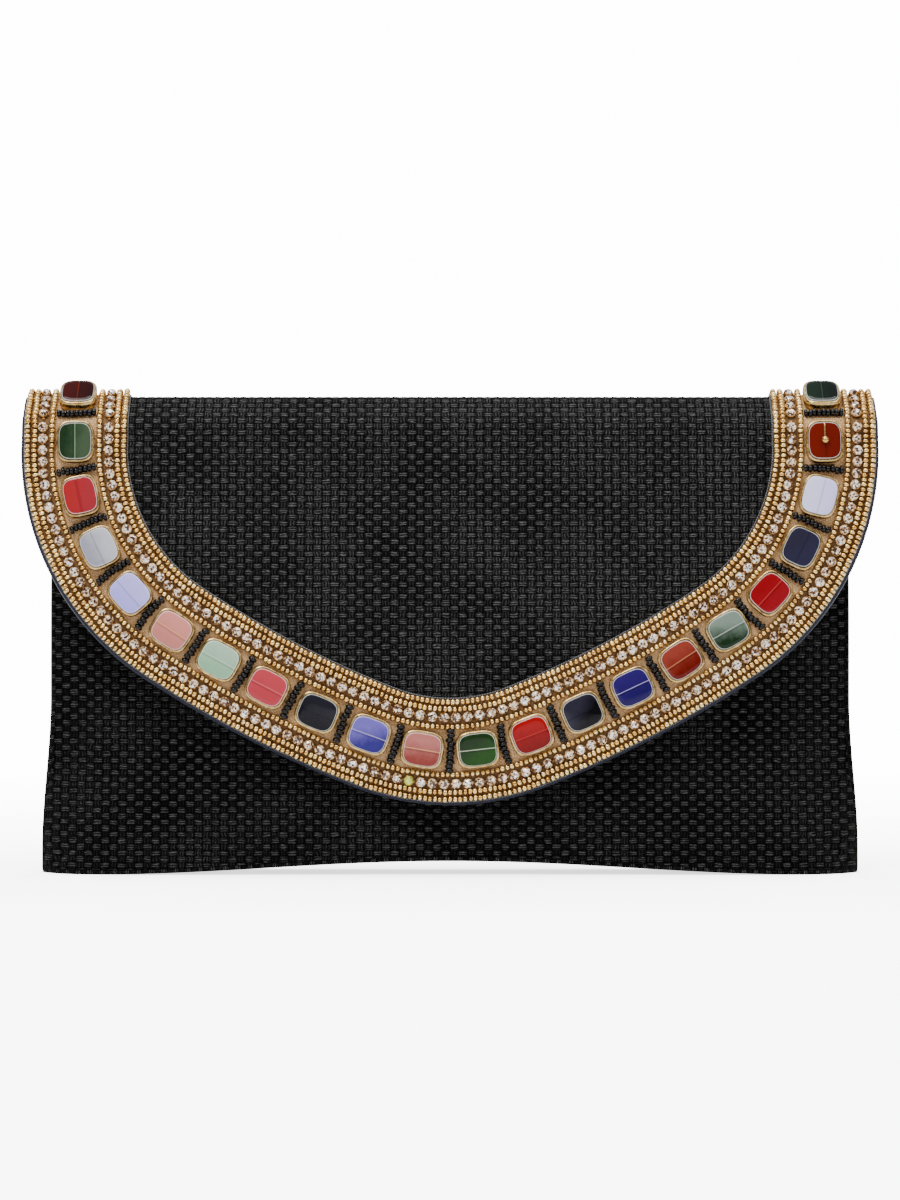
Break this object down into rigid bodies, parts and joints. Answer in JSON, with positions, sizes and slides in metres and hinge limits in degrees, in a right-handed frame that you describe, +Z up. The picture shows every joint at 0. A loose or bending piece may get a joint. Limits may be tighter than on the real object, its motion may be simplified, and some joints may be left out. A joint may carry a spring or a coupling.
{
  "type": "beaded flap clutch purse",
  "caption": "Rectangular black woven clutch purse with a pointed fold-over flap edged in glass beads, gold bead strands and crystal chain, closed by a hidden magnetic snap.",
  "frame": {"origin": "middle of the overall footprint, on the ground under the bag's feet", "axes": "+X towards the wearer's left end of the bag as seen from the front (viewer's right), +Y from the flap towards the back, +Z up"},
  "size_m": [0.2922, 0.0518, 0.1692],
  "materials": {
    "woven_cloth": "matte basket weave",
    "board": "matte",
    "interfacing": "matte non-woven",
    "lining_cloth": "satin",
    "backing_cloth": "matte",
    "gold_bead": "galvanised gold, glossy",
    "crystal": "foiled, faceted",
    "black_bead": "glossy",
    "amber_glass": "glossy, gilt edges",
    "green_glass": "glossy, gilt edges",
    "red_glass": "glossy, gilt edges",
    "navy_glass": "glossy, gilt edges",
    "blue_glass": "glossy, gilt edges",
    "snap_steel": "polished nickel",
    "magnet": "dark ferrite"
  },
  "bodies": {
    "bag_body": {"front_panel": "woven_cloth", "back_panel": "woven_cloth", "bottom_panel": "woven_cloth", "front_stiffener": "board", "back_stiffener": "board", "front_lining": "lining_cloth", "back_lining": "lining_cloth", "snap_socket_case": "snap_steel", "snap_magnet": "magnet", "snap_socket_backplate": "snap_steel"},
    "fold_back": {"fold_back_panel": "woven_cloth", "fold_back_lining": "lining_cloth", "fold_back_trim_backing": "backing_cloth", "fold_back_gold_strands": "gold_bead", "fold_back_crystal_chains": "crystal", "fold_back_black_bars": "black_bead"},
    "fold_front": {"fold_front_panel": "woven_cloth", "fold_front_lining": "lining_cloth", "fold_front_trim_backing": "backing_cloth", "fold_front_gold_strands": "gold_bead", "fold_front_crystal_chains": "crystal", "fold_front_black_bars": "black_bead", "stone_01": "amber_glass", "stone_22": "green_glass"},
    "flap": {"flap_panel": "woven_cloth", "flap_stiffener": "interfacing", "flap_lining": "lining_cloth", "snap_stud_plate": "snap_steel", "snap_stud_backplate": "snap_steel", "flap_trim_backing": "backing_cloth", "black_bead_bars": "black_bead", "crystal_chain_inner": "crystal", "crystal_chain_outer": "crystal", "gold_strand_1": "gold_bead", "gold_strand_2": "gold_bead", "gold_strand_3": "gold_bead", "gold_strand_4": "gold_bead", "gold_strand_5": "gold_bead", "gold_strand_6": "gold_bead", "stone_02": "green_glass", "stone_03": "red_glass", "stone_04": "navy_glass", "stone_05": "blue_glass", "stone_06": "amber_glass", "stone_07": "green_glass", "stone_08": "red_glass", "stone_09": "navy_glass", "stone_10": "blue_glass", "stone_11": "amber_glass", "stone_12": "green_glass", "stone_13": "red_glass", "stone_14": "navy_glass", "stone_15": "blue_glass", "stone_16": "amber_glass", "stone_17": "green_glass", "stone_18": "red_glass", "stone_19": "navy_glass", "stone_20": "blue_glass", "stone_21": "amber_glass"}
  },
  "joints": [
    {"name": "back_crease", "type": "hinge", "parent": "bag_body", "child": "fold_back", "pos_m": [0, 0.0156, 0.1545], "axis": [-1, 0, 0], "range_deg": [0, 63]},
    {"name": "top_fold", "type": "hinge", "parent": "fold_back", "child": "fold_front", "pos_m": [0, 0.0032, 0.1635], "axis": [-1, 0, 0], "range_deg": [0, 72]},
    {"name": "front_crease", "type": "hinge", "parent": "fold_front", "child": "flap", "pos_m": [0, -0.0092, 0.1545], "axis": [-1, 0, 0], "range_deg": [0, 45]}
  ],
  "couplings": [
    {"joint": "top_fold", "follows": "back_crease", "ratio": 1.1429},
    {"joint": "front_crease", "follows": "back_crease", "ratio": 0.71428}
  ]
}
